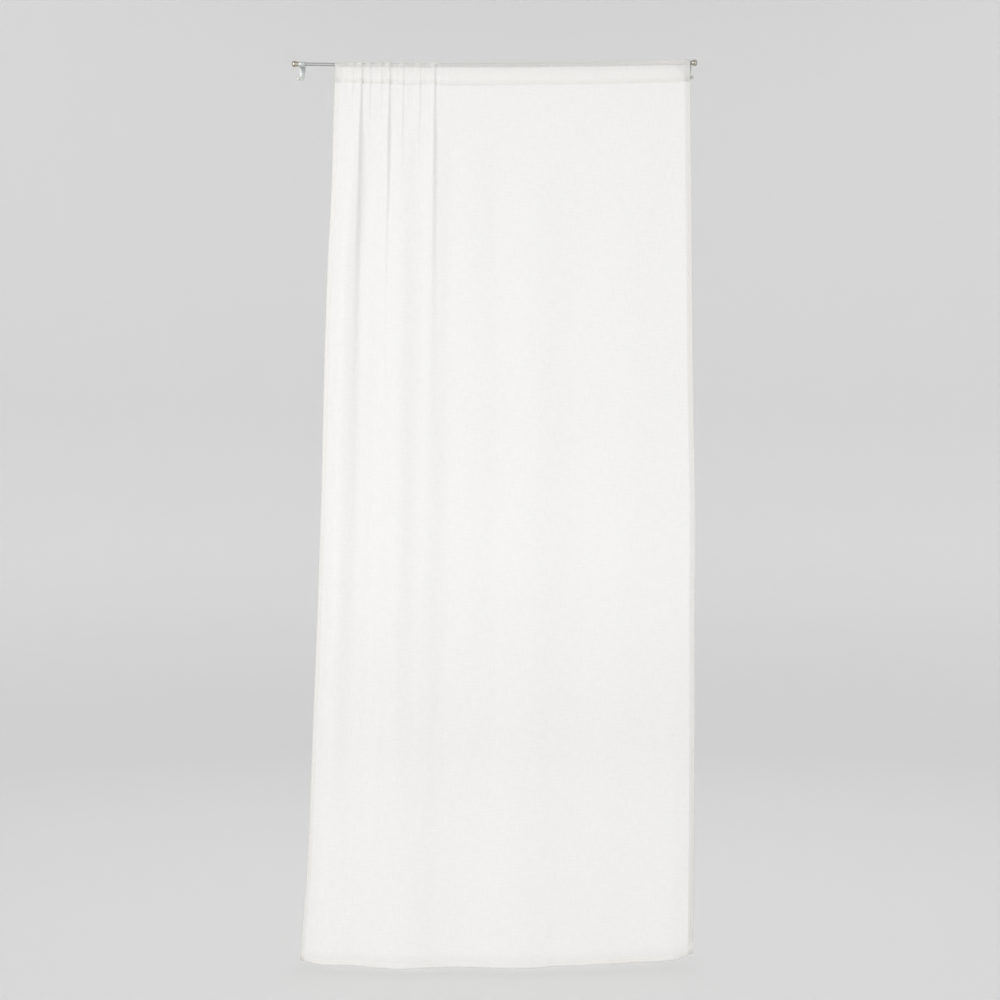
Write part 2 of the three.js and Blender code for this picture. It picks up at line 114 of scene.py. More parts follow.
def read_table(rows: tuple, column: int, place: Array) -> Array:
    """Reads one column of a table on a smooth curve through its rows.

    Between two rows it is a cubic whose slope at each row is that of the line between the row's
    two neighbours.

    Args:
        rows: dataclass rows, whose first field is the key and rises from row to row.
        column: which field to read.
        place: keys to read the column at.

    Returns:
        The values, in the shape of place.
    """
    table = np.array([astuple(row) for row in rows])
    keys, values = table[:, 0], table[:, column]
    last = len(keys) - 1
    before = np.maximum(np.arange(last + 1) - 1, 0)
    after = np.minimum(np.arange(last + 1) + 1, last)
    slopes = (values[after] - values[before]) / (keys[after] - keys[before])
    at = np.clip(place, keys[0], keys[-1])
    start = np.clip(np.searchsorted(keys, at, side="left") - 1, 0, last - 1)
    span = keys[start + 1] - keys[start]
    t = (at - keys[start]) / span
    ease = t * t * (3 - 2 * t)
    bend = slopes[start] * (1 - t) ** 2 * t - slopes[start + 1] * t * t * (1 - t)
    return values[start] + (values[start + 1] - values[start]) * ease + span * bend


def unit(vectors: Array) -> Array:
    """The vectors at length 1."""
    return vectors / np.maximum(np.linalg.norm(vectors, axis=-1, keepdims=True), TINY)


# Mesh and material helpers


def mesh_object(name: str, points: Array, faces: Array) -> bpy.types.Object:
    """Makes a smooth-shaded mesh object at the origin.

    Args:
        name: the piece's name.
        points: vertices in millimetres, as rows of x, y and z.
        faces: vertex numbers of each face, as rows.

    Returns:
        The new object, linked to the scene.
    """
    mesh = bpy.data.meshes.new(name)
    mesh.from_pydata((points * MM).tolist(), [], faces.tolist())
    mesh.shade_smooth()
    piece = bpy.data.objects.new(name, mesh)
    bpy.context.scene.collection.objects.link(piece)
    return piece


def grid_faces(rows: int, columns: int, around: bool = False) -> Array:
    """Quads between neighbouring rows and columns of a grid of vertices.

    Args:
        rows: how many rows the grid has.
        columns: how many vertices are in a row.
        around: whether the last column joins the first.

    Returns:
        Vertex numbers, one row of four for each face.
    """
    i, j = np.meshgrid(np.arange(rows - 1), np.arange(columns - (not around)), indexing="ij")
    next_j = (j + 1) % columns
    corners = [i * columns + j, i * columns + next_j, (i + 1) * columns + next_j, (i + 1) * columns + j]
    return np.stack(corners, axis=-1).reshape(-1, 4)


def set_uv(piece: bpy.types.Object, name: str, uv: Array) -> None:
    """Gives a mesh a UV map from one (u, v) pair for each vertex.

    Args:
        piece: the mesh object.
        name: the UV map's name.
        uv: one pair for each vertex, in metres.
    """
    mesh = piece.data
    corner_vertex = np.empty(len(mesh.loops), dtype=np.int32)
    mesh.loops.foreach_get("vertex_index", corner_vertex)
    layer = mesh.uv_layers.new(name=name)
    layer.data.foreach_set("uv", uv[corner_vertex].astype(np.float32).ravel())


def set_attribute(piece: bpy.types.Object, name: str, values: Array) -> None:
    """Gives a mesh one number for each vertex."""
    attribute = piece.data.attributes.new(name, "FLOAT", "POINT")
    attribute.data.foreach_set("value", values.astype(np.float32).ravel())


def linear(hex_colour: str) -> Colour:
    """Turns an sRGB hex colour to linear red, green, blue and alpha.

    Args:
        hex_colour: six hex digits, two each for red, green and blue.

    Returns:
        The linear colour, opaque.
    """
    srgb = np.array([int(hex_colour[i : i + 2], 16) for i in (0, 2, 4)]) / 255
    red, green, blue = np.where(srgb <= 0.04045, srgb / 12.92, ((srgb + 0.055) / 1.055) ** 2.4)
    return (float(red), float(green), float(blue), 1.0)


def add_node(
    tree: bpy.types.NodeTree, kind: str, inputs: dict[Any, Any] | None = None, **settings: Any
) -> bpy.types.Node:
    """Adds a shader node with its settings and inputs.

    Args:
        tree: the material's node tree.
        kind: the node's Blender type.
        inputs: for each input, by name or number, an output socket to link or a value to set.
        settings: the node's own properties.

    Returns:
        The new node.
    """
    node = tree.nodes.new(kind)
    for key, value in settings.items():
        setattr(node, key, value)
    for key, value in (inputs or {}).items():
        if isinstance(value, bpy.types.NodeSocket):
            tree.links.new(value, node.inputs[key])
        else:
            node.inputs[key].default_value = value
    return node


def new_material(name: str) -> tuple[bpy.types.Material, bpy.types.NodeTree]:
    """Makes an empty node material.

    Args:
        name: the material's name.

    Returns:
        The material and its node tree.
    """
    material = bpy.data.materials.new(name)
    material.use_nodes = True
    material.node_tree.nodes.clear()
    return material, material.node_tree


def finish_surface(tree: bpy.types.NodeTree, shader: bpy.types.NodeSocket) -> None:
    """Links a shader to the material's surface."""
    add_node(tree, "ShaderNodeOutputMaterial", {"Surface": shader})


def dress(piece: bpy.types.Object, material: bpy.types.Material, node: str = "") -> None:
    """Gives a piece its material and slot, and lets it ride on the body and replace its node.

    Args:
        piece: the piece.
        material: its material.
        node: the node that it stands for, if it has one.
    """
    piece.data.materials.append(material)
    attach(piece, BODY)
    if node:
        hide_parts(node)


# Finishes


@dataclass(frozen=True)
class SheerLinen:
    """Woven linen-look voile of polyester yarn with slubs: thin enough to see light through.

    To the eye it is a soft off-white with faint streaks along both sets of threads, and denser where it
    lies double or slopes away; there its colour is also darkened by painted shade. The yarn is a
    fraction of a millimetre thick, too fine to show, so the slubs are drawn 1.3 mm wide and 26 mm long.
    """

    colour: str = "f6f5f3"
    through: str = "fbfaf7"
    clear: float = 0.42
    through_share: float = 0.5
    slub_width: float = 1.3
    slub_length: float = 26
    slub_strength: float = 0.025
    slub_window: float = 0.3
    slub_detail: float = 1.0
    warp_share: float = 0.9
    lattice_turn: float = 0.6
    weft_seed: float = 3.1
    warp_seed: float = 7.7
    bump_strength: float = 0.1
    bump_height: float = 0.3
    deepest_shade: float = 0.86

    def streaks(self, tree: bpy.types.NodeTree, along_u: bool, seed: float) -> bpy.types.NodeSocket:
        """Slubs: noise on the cloth's own UV, stretched along one set of threads.

        Args:
            tree: the material's node tree.
            along_u: whether the threads run across the panel.
            seed: moves the pattern, so that the two sets of threads differ.

        Returns:
            The noise's factor socket.
        """
        fine, long = 1 / (self.slub_width * MM), 1 / (self.slub_length * MM)
        scale = (long, fine, 1) if along_u else (fine, long, 1)
        uv = add_node(tree, "ShaderNodeUVMap", uv_map=CLOTH_UV)
        place = add_node(
            tree,
            "ShaderNodeMapping",
            {
                "Vector": uv.outputs[0],
                "Location": (seed, seed, 0),
                "Rotation": (0, 0, self.lattice_turn),
                "Scale": scale,
            },
        )
        noise = add_node(
            tree,
            "ShaderNodeTexNoise",
            {"Vector": place.outputs[0], "Scale": 1.0, "Detail": self.slub_detail},
        )
        return noise.outputs["Fac"]

    def material(self) -> bpy.types.Material:
        """Builds the cloth: part clear, part woven yarn that scatters light on both sides.

        Returns:
            The material.
        """
        material, tree = new_material("woven_linen_look_voile")
        layers = add_node(tree, "ShaderNodeAttribute", attribute_name=LAYERS).outputs["Fac"]
        weft = self.streaks(tree, True, self.weft_seed)
        warp = self.streaks(tree, False, self.warp_seed)
        both = add_node(
            tree, "ShaderNodeMath", {0: warp, 1: self.warp_share, 2: weft}, operation="MULTIPLY_ADD"
        ).outputs[0]
        middle = (1 + self.warp_share) / 2
        slub = add_node(
            tree,
            "ShaderNodeMapRange",
            {
                "Value": both,
                "From Min": middle - self.slub_window,
                "From Max": middle + self.slub_window,
                "To Min": -1.0,
                "To Max": 1.0,
            },
        ).outputs[0]
        clear = add_node(
            tree,
            "ShaderNodeMath",
            {0: slub, 1: -self.slub_strength, 2: self.clear},
            operation="MULTIPLY_ADD",
        ).outputs[0]
        gaps = add_node(tree, "ShaderNodeMath", {0: clear, 1: layers}, operation="POWER").outputs[0]
        # Painted shade: the shade attribute darkens both colours on folds, hems and the pocket.
        painted_shade = add_node(tree, "ShaderNodeAttribute", attribute_name=SHADE).outputs["Fac"]
        shade = add_node(
            tree,
            "ShaderNodeMapRange",
            {"Value": painted_shade, "To Min": 1.0, "To Max": self.deepest_shade},
            clamp=False,
        ).outputs[0]
        tones = []
        for colour in (self.colour, self.through):
            tone = add_node(
                tree,
                "ShaderNodeVectorMath",
                {0: linear(colour)[:3], "Scale": shade},
                operation="SCALE",
            )
            tones.append(tone.outputs[0])
        bump = add_node(
            tree,
            "ShaderNodeBump",
            {"Height": both, "Strength": self.bump_strength, "Distance": self.bump_height * MM},
        )
        front = add_node(
            tree,
            "ShaderNodeBsdfDiffuse",
            {"Color": tones[0], "Normal": bump.outputs[0]},
        )
        back = add_node(tree, "ShaderNodeBsdfTranslucent", {"Color": tones[1]})
        yarn = add_node(
            tree,
            "ShaderNodeMixShader",
            {0: self.through_share, 1: front.outputs[0], 2: back.outputs[0]},
        )
        air = add_node(tree, "ShaderNodeBsdfTransparent")
        sheer = add_node(tree, "ShaderNodeMixShader", {0: gaps, 1: yarn.outputs[0], 2: air.outputs[0]})
        finish_surface(tree, sheer.outputs[0])
        return material


@dataclass(frozen=True)
class PolyesterThread:
    """Spun polyester sewing thread: matt, and a little darker than the cloth."""

    colour: str = "e9e6e1"
    roughness: float = 0.85
    ply: float = 0.4
    band_share: float = 0.3
    band_waver: float = 1.0
    bump_strength: float = 0.4
    bump_height: float = 0.05

    def material(self) -> bpy.types.Material:
        """Builds the thread, with its ply as fine diagonal bands.

        Returns:
            The material.
        """
        material, tree = new_material("spun_polyester_thread")
        place = add_node(tree, "ShaderNodeTexCoord").outputs["Object"]
        bands = add_node(
            tree,
            "ShaderNodeTexWave",
            {"Vector": place, "Scale": self.band_share / (self.ply * MM), "Distortion": self.band_waver},
            bands_direction="DIAGONAL",
        )
        bump = add_node(
            tree,
            "ShaderNodeBump",
            {
                "Height": bands.outputs["Fac"],
                "Strength": self.bump_strength,
                "Distance": self.bump_height * MM,
            },
        )
        yarn = add_node(
            tree,
            "ShaderNodeBsdfPrincipled",
            {"Base Color": linear(self.colour), "Roughness": self.roughness, "Normal": bump.outputs[0]},
        )
        finish_surface(tree, yarn.outputs[0])
        return material


@dataclass(frozen=True)
class Metal:
    """A metal surface: its colour, how rough it is, and fine marks along or round the piece.

    The real marks are a few hundredths of a millimetre wide, too fine to show, so the grain is
    drawn coarser, at the sizes in millimetres along X, Y and Z that each metal gives.
    """

    name: str
    colour: str
    metallic: float
    roughness: float
    grain: tuple[float, float, float]
    grain_strength: float
    mottle: float = 0.0
    mottle_size: float = 9
    grain_window: tuple[float, float] = (0.3, 0.7)
    grain_detail: float = 3.0
    mottle_window: tuple[float, float] = (0.35, 0.65)
    mottle_detail: float = 2.0

    def material(self) -> bpy.types.Material:
        """Builds the metal: streaks in the roughness, and a slight mottle in the colour.

        Returns:
            The material.
        """
        material, tree = new_material(self.name)
        place = add_node(tree, "ShaderNodeTexCoord").outputs["Object"]
        scale = tuple(1 / (size * MM) for size in self.grain)
        marks = add_node(tree, "ShaderNodeMapping", {"Vector": place, "Scale": scale})
        grain = add_node(
            tree,
            "ShaderNodeTexNoise",
            {"Vector": marks.outputs[0], "Scale": 1.0, "Detail": self.grain_detail},
        )
        rough = add_node(
            tree,
            "ShaderNodeMapRange",
            {
                "Value": grain.outputs["Fac"],
                "From Min": self.grain_window[0],
                "From Max": self.grain_window[1],
                "To Min": self.roughness - self.grain_strength,
                "To Max": self.roughness + self.grain_strength,
            },
        )
        cloud = add_node(
            tree,
            "ShaderNodeTexNoise",
            {"Vector": place, "Scale": 1 / (self.mottle_size * MM), "Detail": self.mottle_detail},
        )
        dull = add_node(
            tree,
            "ShaderNodeMapRange",
            {
                "Value": cloud.outputs["Fac"],
                "From Min": self.mottle_window[0],
                "From Max": self.mottle_window[1],
                "To Min": 1 - self.mottle,
                "To Max": 1.0,
            },
        )
        tone = add_node(
            tree,
            "ShaderNodeVectorMath",
            {0: linear(self.colour)[:3], "Scale": dull.outputs[0]},
            operation="SCALE",
        )
        surface = add_node(
            tree,
            "ShaderNodeBsdfPrincipled",
            {"Base Color": tone.outputs[0], "Metallic": self.metallic, "Roughness": rough.outputs[0]},
        )
        finish_surface(tree, surface.outputs[0])
        return material


# Drawn steel keeps long fine lines from the die, which stretch its highlight along the bar.
DRAWN_STEEL = Metal(
    "drawn_steel", "b6b7b5", metallic=1.0, roughness=0.34, grain=(60, 0.5, 0.5), grain_strength=0.06
)
# Satin nickel over a turned knob: softly bright and a little warm, with fine marks round its axis.
SATIN_NICKEL = Metal(
    "satin_nickel_plate",
    "b0aca1",
    metallic=1.0,
    roughness=0.34,
    grain=(0.4, 12, 12),
    grain_strength=0.05,
    mottle=0.06,
)
# Stove lacquer on pressed sheet steel: blue-grey and smooth, with a dull sheen and no hard glint.
BLUE_GREY_LACQUER = Metal(
    "blue_grey_stove_lacquer",
    "b5b9b8",
    metallic=0.35,
    roughness=0.42,
    grain=(3, 3, 3),
    grain_strength=0.05,
    mottle=0.08,
)
# Bright zinc plate on a rolled screw: the brightest metal here, slightly cloudy.
ZINC_PLATE = Metal(
    "bright_zinc_plate",
    "cfccc4",
    metallic=1.0,
    roughness=0.28,
    grain=(1.5, 1.5, 1.5),
    grain_strength=0.06,
    mottle=0.1,
)


@dataclass(frozen=True)
class StagePaint:
    """Matt paper-smooth paint: a little deeper on the floor than on the wall around it."""

    floor_colour: str = "e6e6e6"
    wall_colour: str = "f2f2f2"
    roughness: float = 0.9
    gloss: float = 0.1
    blend: float = 900

    def material(self) -> bpy.types.Material:
        """Builds the paint, whose tone rises smoothly with height.

        Returns:
            The material.
        """
        material, tree = new_material("matt_stage_paint")
        place = add_node(tree, "ShaderNodeTexCoord").outputs["Object"]
        height = add_node(tree, "ShaderNodeSeparateXYZ", {0: place}).outputs["Z"]
        rise = add_node(
            tree,
            "ShaderNodeMapRange",
            {"Value": height, "From Min": FLOOR * MM, "From Max": (FLOOR + self.blend) * MM},
            interpolation_type="SMOOTHSTEP",
        )
        tone = add_node(
            tree,
            "ShaderNodeMix",
            {"Factor": rise.outputs[0], 6: linear(self.floor_colour), 7: linear(self.wall_colour)},
            data_type="RGBA",
        )
        paint = add_node(
            tree,
            "ShaderNodeBsdfPrincipled",
            {"Base Color": tone.outputs[2], "Roughness": self.roughness, "Specular IOR Level": self.gloss},
        )
        finish_surface(tree, paint.outputs[0])
        return material


# Rows of the cloth's tables


@dataclass(frozen=True)
class EdgeRow:
    """Where the panel's two side edges hang at a drop below the bar."""

    drop: float
    left: float
    right: float


@dataclass(frozen=True)
class HemRow:
    """The hem's line from above, and how high it hangs over its lowest possible level."""

    x: float
    y: float
    lift: float


@dataclass(frozen=True)
class PocketRow:
    """The pocket's foot under the bar, and how far cloth stands off the bar at top and front."""

    place: float
    foot: float
    top: float
    front: float


@dataclass(frozen=True)
class Gather:
    """A gather: place, width, depth in front, height over the bar and reach down the panel."""

    place: float
    width: float
    depth: float
    frill: float
    reach: float

    def shape(self, place: Array, gentle: Array, steep: Array) -> Array:
        """A leaning hump, 1 at its ridge: it rises gently from the left and falls steeply.

        Args:
            place: where along the heading.
            gentle: how many times half the gather's width the rise is wide.
            steep: how many times half the gather's width the fall is wide.

        Returns:
            The share of the gather's depth at each place.
        """
        off = (place - self.place) / (self.width / 2)
        return hump(np.where(off < 0, off / gentle, off / steep))


@dataclass(frozen=True)
class SoftFold:
    """A broad soft fold that the gathers run out into."""

    place: float
    width: float
    depth: float


@dataclass(frozen=True)
class Bar:
    """The thin round bar, which bends a little under the cloth."""

    radius: float = 4
    reach: float = 445.6
    sag: float = 4
    rise: float = 2.5
    stand_off: float = 32
    bracket_x: float = 428.4
    end_edge: float = 0.5
    sides: int = 32
    steps: int = 64

    def height(self, x: Array) -> Array:
        """The height of the bar's axis: a parabola between the brackets, one a little higher."""
        share = (x + self.bracket_x) / (2 * self.bracket_x)
        return self.rise * share - 4 * self.sag * share * (1 - share)

    def slope(self, x: float) -> float:
        """The slope of the bar's axis."""
        share = (x + self.bracket_x) / (2 * self.bracket_x)
        return (self.rise - 4 * self.sag * (1 - 2 * share)) / (2 * self.bracket_x)

    def rings(self, x: Array, radius: Array, height: Array, sides: int) -> Array:
        """Rings of points in upright planes: each point is a radius from the axis, at equal turns.

        Args:
            x: where each ring stands.
            radius: each ring's radius.
            height: the height of each ring's middle.
            sides: how many points a ring has.

        Returns:
            Points as rows of x, y and z, ring by ring.
        """
        turn = np.linspace(0, 2 * np.pi, sides, endpoint=False)
        y = -self.stand_off + radius[:, None] * np.cos(turn)
        z = height[:, None] + radius[:, None] * np.sin(turn)
        return np.stack(np.broadcast_arrays(x[:, None], y, z), axis=-1).reshape(-1, 3)

    def build(self) -> bpy.types.Object:
        """Sweeps a circle along the axis, with a small rounded edge at both ends.

        Returns:
            The bar as a closed mesh.
        """
        edge = self.end_edge
        along = np.linspace(-self.reach + edge, self.reach - edge, self.steps)
        x = np.concatenate([[-self.reach, -self.reach], along, [self.reach, self.reach]])
        rim = self.radius - edge
        radius = np.concatenate([[0, rim], np.full(self.steps, self.radius), [rim, 0]])
        points = self.rings(x, radius, self.height(x), self.sides)
        bar = mesh_object("bar_tube", points, grid_faces(len(x), self.sides, around=True))
        tidy_mesh(bar)
        dress(bar, DRAWN_STEEL.material(), "rod")
        return bar


def tidy_mesh(piece: bpy.types.Object) -> None:
    """Merges doubled vertices, drops faces without area and turns all faces outwards.

    Args:
        piece: the mesh object.
    """
    work = bmesh.new()
    work.from_mesh(piece.data)
    bmesh.ops.remove_doubles(work, verts=work.verts, dist=MERGE_DISTANCE * MM)
    bmesh.ops.dissolve_degenerate(work, edges=work.edges, dist=MERGE_DISTANCE * MM)
    bmesh.ops.recalc_face_normals(work, faces=work.faces)
    work.to_mesh(piece.data)
    work.free()
    piece.data.shade_smooth()


@dataclass(frozen=True)
class LongWave:
    """A long wave in hung cloth: its share, its lengths across and down, and where it starts."""

    share: float
    across: float
    down: float
    start: float


@dataclass(frozen=True)
class Waves:
    """Slight waves in hung cloth, which is never quite even: long ones, ripples and a wavy rim."""

    free_from: tuple[float, float] = (60, 500)
    long_height: float = 0.8
    long: tuple[LongWave, ...] = (LongWave(1, 71, 930, 0), LongWave(0.7, 37, -610, 1.9))
    ripple_height: float = 0.25
    ripple_across: float = 17
    ripple_down: float = 340
    ripple_bend: float = 2.2
    ripple_start: float = 0.7
    rim_height: float = 1.6
    rim_width: float = 40
    rim_down: float = 33
    rim_from: tuple[float, float] = (1300, 1900)

    def depth(self, place: Array, points: Array, right: float) -> Array:
        """Sums of sines that differ from place to place and start some way under the pocket.

        Args:
            place: where the columns stand along the heading.
            points: the sheet's points as (row, column, xyz).
            right: the heading's right end, whose edge waves low down.

        Returns:
            How far back each point is moved.
        """
        x, z = points[..., 0], points[..., 2]
        long = sum(w.share * np.sin(x / w.across + z / w.down + w.start) for w in self.long)
        bend = self.ripple_bend * np.sin(z / self.ripple_down)
        ripple = np.sin(x / self.ripple_across + bend + self.ripple_start)
        near_edge = smoothstep(place, right - self.rim_width, right)
        rim = near_edge * np.sin(z / self.rim_down) * smoothstep(-z, *self.rim_from)
        free = smoothstep(-z, *self.free_from)
        return free * (self.long_height * long + self.ripple_height * ripple) + self.rim_height * rim


@dataclass(frozen=True)
class Curtain:
    """The panel: one sheet with a sewn rod pocket, turned side hems and a turned bottom hem."""

    bar: Bar
    waves: Waves = Waves()
    # The panel's finished width, and the cloth's thickness, clearance and turned hems.
    width: float = 900
    sheet: float = 1.2
    gap: float = 0.3
    side_hem: float = 10
    bottom_hem: float = 12
    band: float = 9
    turned_gap: float = 0.8
    hem_level: float = -1999.9
    seam_drop: float = 1
    # How many half widths a gather's gentle and steep sides take, and how fast that grows downwards.
    gentle: float = 2.2
    gentle_spread: float = 45
    steep: float = 0.75
    steep_spread: float = 330
    # The share of a gather's depth at the bar's front, at its back and at the pocket's foot.
    front_share: float = 0.5
    back_share: float = 0.35
    foot_share: float = 0.5
    foot_fade: float = 130
    # Where the soft folds swell and fade, and how much the folds of a row may be scaled.
    soft_start: float = 320
    soft_fade: tuple[float, float] = (1150, 1900)
    most_scale: float = 1.05
    halvings: int = 20
    # How late the panel comes forward to the hem's line, and how near the edges it spreads.
    forward_power: float = 1.5
    edge_power: float = 3
    # How far the right bracket's arm pushes the pocket's back layer along the bar.
    push: float = 23.5
    push_from: float = 372
    push_angles: tuple[float, float] = (30, 135)
    # Angles from the bar's front: where the cloth is bent, and where its lift passes and dies away.
    crown_start: float = -8
    lift_angles: tuple[float, float, float] = (45, 100, 150)
    # The grid's columns: their spacing, and how far each gather's fine ones reach, in its widths.
    spacing: float = 4
    least_spacing: float = 0.25
    fine_before: float = 0.9
    fine_after: float = 0.5
    gather_columns: int = 13
    # The grid's rows in each part, and where the pocket's rows stand between its foot and the bar.
    panel_rows: int = 150
    even_share: float = 0.35
    hem_rows: int = 5
    band_rows: int = 4
    band_top: float = 0.22
    upper_rows: int = 11
    upper_start: float = 0.24
    crown_rows: int = 27
    # Density where the cloth slopes or lies double, and painted shade on folds, hems, pocket and band.
    most_layers: float = 2.6
    crown_layers: float = 1.7
    fold_shade: float = 0.8
    left_shade: float = 0.7
    right_shade: float = 1.05
    bottom_shade: float = 0.5
    pocket_shade: float = 0.5
    band_shade: float = 0.3
    # How many hem widths a turned hem's threads are moved, so that its slubs differ from those under it.
    turned_shift: float = 3
    # Where the machine sewed: in from the side hems' edge, and as a share of the way between rows.
    stitch_inset: float = 1.3
    hem_stitch: float = 0.6
    foot_stitch: float = 0.5
    edges: tuple[EdgeRow, ...] = (
        EdgeRow(0, -355, 435),
        EdgeRow(100, -358.5, 436.3),
        EdgeRow(300, -364.5, 438.4),
        EdgeRow(440, -372, 439.5),
        EdgeRow(700, -380, 442),
        EdgeRow(970, -386.5, 446.5),
        EdgeRow(1240, -395.6, 446),
        EdgeRow(1500, -406, 446),
        EdgeRow(1770, -417, 444.5),
        EdgeRow(1900, -427, 443),
        EdgeRow(1995, -433.5, 442),
    )
    hem: tuple[HemRow, ...] = (
        HemRow(-433.5, -28, 5),
        HemRow(-405, -55.5, 5),
        HemRow(-377, -70, 4),
        HemRow(-308, -76, 4),
        HemRow(-258, -91, 3),
        HemRow(-210, -103, 3),
        HemRow(-169, -100, 3),
        HemRow(-132, -91, 3),
        HemRow(-71.5, -84, 3),
        HemRow(15, -94, 3),
        HemRow(46, -97, 3),
        HemRow(87, -94, 3),
        HemRow(139.5, -82, 4),
        HemRow(218.5, -74, 5),
        HemRow(280, -65, 6),
        HemRow(344.5, -56, 7),
        HemRow(391, -52, 9),
        HemRow(420, -39, 13),
        HemRow(442, -27, 20),
    )
    pocket: tuple[PocketRow, ...] = (
        PocketRow(-355, 39.3, 0, 0),
        PocketRow(-308, 38.6, 0, 0),
        PocketRow(-292, 41, 0, 0),
        PocketRow(-240, 41.3, 0, 0),
        PocketRow(-203, 43.4, 0, 0),
        PocketRow(-170, 44, 0, 0),
        PocketRow(-140, 41, 0, 0),
        PocketRow(-127, 43.8, 0, 0),
        PocketRow(-60, 44.2, 0.4, 0.15),
        PocketRow(30, 43.4, 0.8, 0.3),
        PocketRow(235, 42.6, 2.2, 1),
        PocketRow(400, 41.4, 2.8, 3.8),
        PocketRow(415, 41.4, 2.8, 4.6),
        PocketRow(435, 41.2, 2.8, 4.6),
    )
    gathers: tuple[Gather, ...] = (
        Gather(-330, 7, 1.2, 0.8, 60),
        Gather(-315, 12, 4.5, 2.6, 110),
        Gather(-296, 12, 11.5, 3.4, 610),
        Gather(-277, 11, 5, 2.2, 90),
        Gather(-264, 7, 1.2, 0.9, 60),
        Gather(-252, 13, 5, 2, 120),
        Gather(-234, 12, 11, 2.6, 670),
        Gather(-218, 7, 1.6, 1, 80),
        Gather(-204, 13, 6, 2, 150),
        Gather(-192, 6, 1, 1.2, 50),
        Gather(-183, 6, 1, 0.8, 50),
        Gather(-167, 14, 6, 2, 130),
        Gather(-155, 6, 1, 0.9, 60),
        Gather(-146, 6, 1, 1.1, 60),
        Gather(-134, 15, 11, 2.4, 560),
        Gather(-119, 8, 1.4, 0.8, 90),
    )
    soft_folds: tuple[SoftFold, ...] = (
        SoftFold(-315, 80, 14),
        SoftFold(-200, 106, 17),
        SoftFold(-134, 88, 6),
        SoftFold(-44, 118, 7),
        SoftFold(96, 190, 10),
        SoftFold(296, 200, 10),
    )

    @property
    def left(self) -> float:
        """The heading's left end."""
        return self.edges[0].left

    @property
    def right(self) -> float:
        """The heading's right end."""
        return self.edges[0].right

    @property
    def front_rows(self) -> int:
        """How many rows the pocket's front layer has."""
        return self.band_rows + self.upper_rows

    @property
    def seam_y(self) -> float:
        """How far forward the pocket's foot lies."""
        return -self.bar.stand_off - self.sheet / 2

    @property
    def crown_radius(self) -> float:
        """The middle of the cloth's thickness where it lies on the bar."""
        return self.bar.radius + self.gap + self.sheet / 2

    def places(self) -> Array:
        """Spreads the sheet's columns along the heading, closer together in the gathers.

        Returns:
            Where each column stands, from left to right.
        """
        even = np.arange(self.left, self.right, self.spacing)
        fixed = [self.left + self.side_hem, self.right - self.side_hem, self.right]
        fine = [
            np.linspace(
                g.place - self.fine_before * g.width,
                g.place + self.fine_after * g.width,
                self.gather_columns,
            )
            for g in self.gathers
        ]
        found = np.unique(np.round(np.concatenate([even, fixed, *fine]), 2))
        return found[np.append(np.diff(found) > self.least_spacing, True)]

    def column_x(self, place: Array, drop: Array) -> Array:
        """Finds where a lengthwise thread hangs: the edges spread, and the side hems keep width.

        Args:
            place: where the thread starts along the heading.
            drop: how far below the bar.

        Returns:
            The thread's x at each drop.
        """
        inside = self.right - self.left - 2 * self.side_hem
        share = np.clip((place - self.left - self.side_hem) / inside, 0, 1)
        left = read_table(self.edges, 1, drop) - self.left
        right = read_table(self.edges, 2, drop) - self.right
        return place + left * (1 - share) ** self.edge_power + right * share**self.edge_power

    def gather_depth(self, place: Array, below: Array) -> Array:
        """The gathers' depth: leaning humps that widen and fade as they run down the panel.

        The seam at the pocket's foot holds them flatter, so each swells first and then fades.

        Args:
            place: where the columns stand along the heading.
            below: how far under the pocket's foot.

        Returns:
            The depth at each place.
        """
        gentle = self.gentle + below / self.gentle_spread
        steep = self.steep + below / self.steep_spread
        depth = np.zeros(np.broadcast(place, below).shape)
        for g in self.gathers:
            fade = np.exp(-((below / g.reach) ** 2))
            depth = depth + g.depth * fade * g.shape(place, gentle, steep)
        return depth * lerp(self.foot_share, 1, smoothstep(below, 0, self.foot_fade))

    def soft_depth(self, place: Array, below: Array) -> Array:
        """The soft folds' depth: broad humps that swell below the pocket and fade at the hem."""
        swell = smoothstep(below, 0, self.soft_start) * (1 - smoothstep(below, *self.soft_fade))
        return sum(f.depth * swell * hump((place - f.place) / (f.width / 2)) for f in self.soft_folds)

    def seam_height(self, place: Array) -> Array:
        """The height of the pocket's foot."""
        return self.bar.height(place) - read_table(self.pocket, 1, place)

    def panel(self, places: Array, shares: Array) -> tuple[Array, Array]:
        """The panel from its foot to its hem, in parts: without folds, and the folds' depth.

        Args:
            places: where the columns stand along the heading.
            shares: how far down each row lies, 0 at the pocket's foot and 1 at the hem.

        Returns:
            The points of the unfolded panel as (row, column, xyz), and the fold depth at each.
        """
        place, share = places[None, :], shares[:, None]
        hem_x = self.column_x(place, np.array(self.edges[-1].drop))
        top = self.seam_height(place) - self.seam_drop
        z = lerp(top, self.hem_level + read_table(self.hem, 2, hem_x), share)
        y = lerp(self.seam_y, read_table(self.hem, 1, hem_x), share**self.forward_power)
        folds = self.gather_depth(place, top - z) + self.soft_depth(place, top - z)
        return np.stack([self.column_x(place, -z), y, z], axis=-1), folds

    def folded(self, points: Array, folds: Array) -> Array:
        """Scales each row's folds until the row, seen from above, is as long as the panel is wide.

        Where that takes more than the most that folds may be scaled, the row stays shorter.

        Args:
            points: the unfolded panel.
            folds: the depth of the folds at each point.

        Returns:
            The scale for each row, found by halving.
        """
        least = np.zeros((len(points), 1))
        most = np.full((len(points), 1), self.most_scale)
        across = np.diff(points[..., 0], axis=1)
        for _ in range(self.halvings):
            middle = (least + most) / 2
            y = points[..., 1] - middle * folds
            length = np.hypot(across, np.diff(y, axis=1)).sum(axis=1, keepdims=True)
            least = np.where(length < self.width, middle, least)
            most = np.where(length < self.width, most, middle)
        return least

